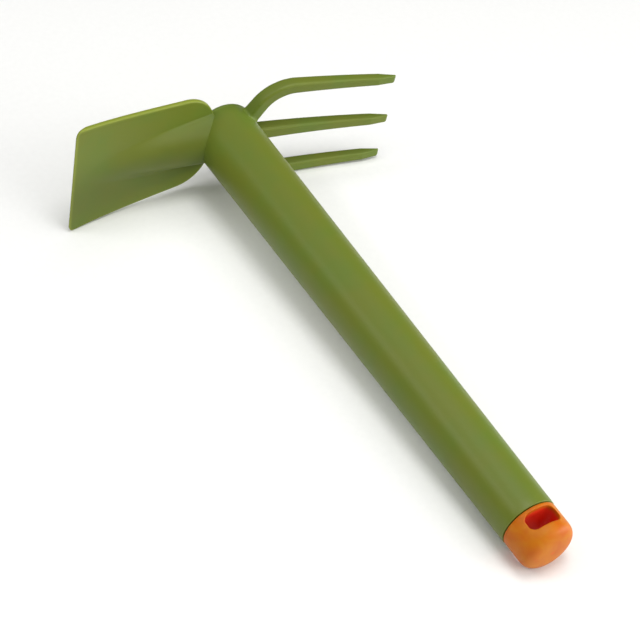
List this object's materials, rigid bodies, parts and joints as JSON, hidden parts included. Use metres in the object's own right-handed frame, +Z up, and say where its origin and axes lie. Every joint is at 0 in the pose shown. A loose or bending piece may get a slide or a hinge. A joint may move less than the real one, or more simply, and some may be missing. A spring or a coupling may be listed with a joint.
{
  "type": "grub hoe",
  "caption": "One-hand grub hoe: a swaged steel blade and chisel-tipped tines on a closed conical steel tube, with a plastic end plug that has a hanging slot.",
  "frame": {"origin": "middle of the bounding box's footprint, on the surface that the tool lies on", "axes": "+X along the handle from the head to the end plug, +Y towards the tines' tips, +Z up; the tool lies on its side on the blade's lower corner, the lower tine and the handle's end, so the handle's axis dips 3.8 degrees towards the plug"},
  "size_m": [0.2984, 0.1764, 0.0674],
  "materials": {
    "green_steel": "semi-gloss olive green baked coating over welded steel",
    "orange_plug": "satin orange injection-moulded polypropylene"
  },
  "bodies": {
    "root": {"handle_tube": "green_steel", "head_dome": "green_steel", "dome_weld": "green_steel", "hoe_blade": "green_steel", "blade_weld": "green_steel", "middle_tine": "green_steel", "middle_tine_weld": "green_steel", "upper_tine": "green_steel", "upper_tine_weld": "green_steel", "lower_tine": "green_steel", "lower_tine_weld": "green_steel", "end_plug": "orange_plug"}
  },
  "joints": []
}
